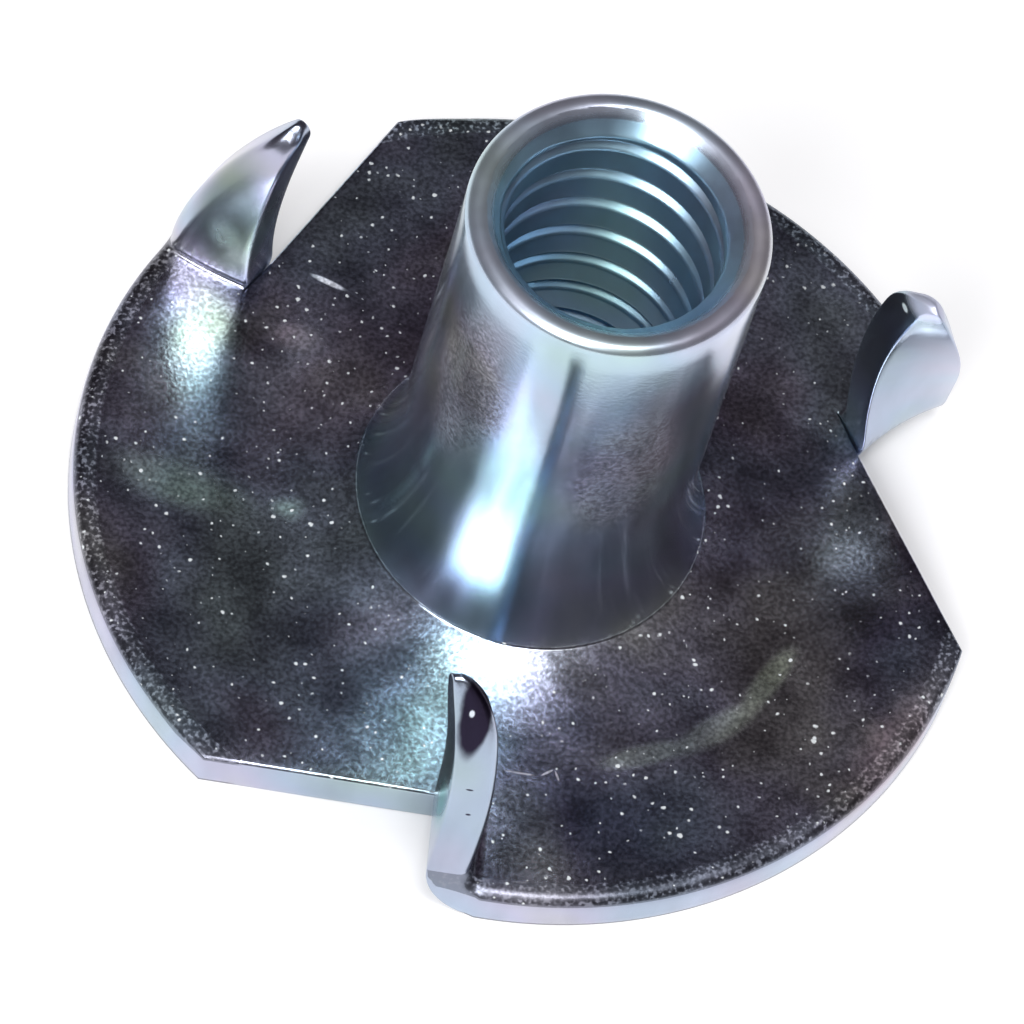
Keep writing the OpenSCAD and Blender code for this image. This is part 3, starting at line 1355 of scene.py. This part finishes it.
@dataclass(frozen=True)
class Viewpoint:
    """The camera: where it stands, how it is rolled and what it takes in."""

    azimuth: float = math.radians(-10.5)
    elevation: float = math.radians(57.80)
    roll: float = math.radians(18.115)
    distance: float = 210.9 * MM
    aim_right: float = -0.199 * MM
    aim_up: float = 0.212 * MM
    sensor: float = 36.0
    lens: float = 357.0

    def place(self) -> None:
        """Makes the camera and gives it to the scene."""
        back = direction(self.azimuth, self.elevation)
        level = (-back).cross(Vector((0, 0, 1))).normalized()
        upright = level.cross(-back)
        right = math.cos(self.roll) * level + math.sin(self.roll) * upright
        up = math.cos(self.roll) * upright - math.sin(self.roll) * level
        aim = self.aim_right * right + self.aim_up * up
        data = bpy.data.cameras.new("camera")
        data.sensor_width = self.sensor
        data.lens = self.lens
        data.clip_start = 1 * MM
        camera = add_object("camera", data)
        turn = Matrix((right, up, back)).transposed().to_4x4()
        camera.matrix_world = Matrix.Translation(aim + back * self.distance) @ turn
        bpy.context.scene.camera = camera


@dataclass(frozen=True)
class Lamp:
    """A soft lamp that faces the nut, placed by its direction from it."""

    name: str
    azimuth: float
    elevation: float
    width: float
    height: float
    energy: float
    shape: str = "ELLIPSE"
    distance: float = 0.3

    def place(self) -> None:
        """Makes the lamp."""
        data = bpy.data.lights.new(self.name, "AREA")
        data.shape = self.shape
        data.size = self.width
        data.size_y = self.height
        data.energy = self.energy
        lamp = add_object(self.name, data)
        towards = direction(self.azimuth, self.elevation)
        lamp.location = towards * self.distance
        lamp.rotation_euler = towards.to_track_quat("Z", "Y").to_euler()


LAMPS = (
    Lamp("overhead", math.radians(10), math.radians(77), 0.13, 0.11, 0.45),
    Lamp("window", math.radians(-27), math.radians(44), 0.135, 0.13, 0.6, "RECTANGLE"),
)


@dataclass(frozen=True)
class Room:
    """What is round the nut: a white table, and a dim room above it.

    The table glows, which stands in for the light of a white room, and glows
    less in the nut's shade. The room is dimmest halfway up its walls.
    """

    card: str = "#D2D2D4"
    card_glow: float = 0.55
    shade_glow: float = 0.12
    shade_inner_r: float = 7.4 * MM
    shade_outer_r: float = 9.9 * MM
    table_size: float = 2.0
    horizon: str = "#6C6C70"
    walls: str = "#423B42"
    ceiling: str = "#908F94"
    walls_start: float = 0.35
    walls_end: float = 0.85

    def build(self) -> None:
        """Makes the table and the world."""
        mesh = bpy.data.meshes.new("floor")
        half = self.table_size / 2
        corners = ((-half, -half, 0), (half, -half, 0), (half, half, 0), (-half, half, 0))
        mesh.from_pydata(corners, [], [(0, 1, 2, 3)])
        floor = add_object("floor", mesh)
        mesh.materials.append(self._white_card())
        self._world()

    def _white_card(self) -> Material:
        """Builds the table's material, white card with a glow."""
        material = bpy.data.materials.new("white_card")
        tree = fresh_tree(material)
        card = add_node(tree, "ShaderNodeBsdfDiffuse", {"Color": linear(self.card)})
        place = add_node(tree, "ShaderNodeTexCoord").outputs["Object"]
        radius = add_node(tree, "ShaderNodeVectorMath", {0: place}, operation="LENGTH")
        shade = (self.shade_inner_r, self.shade_outer_r, self.shade_glow, self.card_glow)
        inputs = ranged(radius.outputs["Value"], *shade)
        strength = add_node(tree, "ShaderNodeMapRange", inputs).outputs[0]
        white = {"Color": linear("#FFFFFF"), "Strength": strength}
        glow = add_node(tree, "ShaderNodeEmission", white)
        both = add_node(tree, "ShaderNodeAddShader", {0: card.outputs[0], 1: glow.outputs[0]})
        add_node(tree, "ShaderNodeOutputMaterial", {"Surface": both.outputs[0]})
        return material

    def _world(self) -> None:
        """Makes the world, from its horizon to its ceiling."""
        world = bpy.data.worlds.new("room")
        bpy.context.scene.world = world
        tree = fresh_tree(world)
        where = add_node(tree, "ShaderNodeTexCoord").outputs["Generated"]
        height = add_node(tree, "ShaderNodeSeparateXYZ", {0: where}).outputs[2]
        ramp = add_node(tree, "ShaderNodeValToRGB", {0: height})
        places = (0.0, self.walls_start, self.walls_end, 1.0)
        colours = (self.horizon, self.walls, self.walls, self.ceiling)
        fill_ramp(ramp.color_ramp, list(zip(places, colours)))
        glow = add_node(tree, "ShaderNodeBackground", {"Color": ramp.outputs[0]})
        add_node(tree, "ShaderNodeOutputWorld", {"Surface": glow.outputs[0]})


# ---- main


def main() -> None:
    """Builds the nut and its stage."""
    logging.basicConfig(level=logging.INFO, format="%(name)s: %(message)s")
    bpy.context.scene.view_settings.view_transform = "Standard"
    Viewpoint().place()
    nut = TeeNut(NutSizes.from_frame(), PRONGS).build(ZincPlate().material())
    log.info("nut: %d faces", len(nut.data.polygons))
    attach(nut, "root")
    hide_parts(NODE)
    Room().build()
    for lamp in LAMPS:
        lamp.place()


if __name__ == "__main__":
    main()
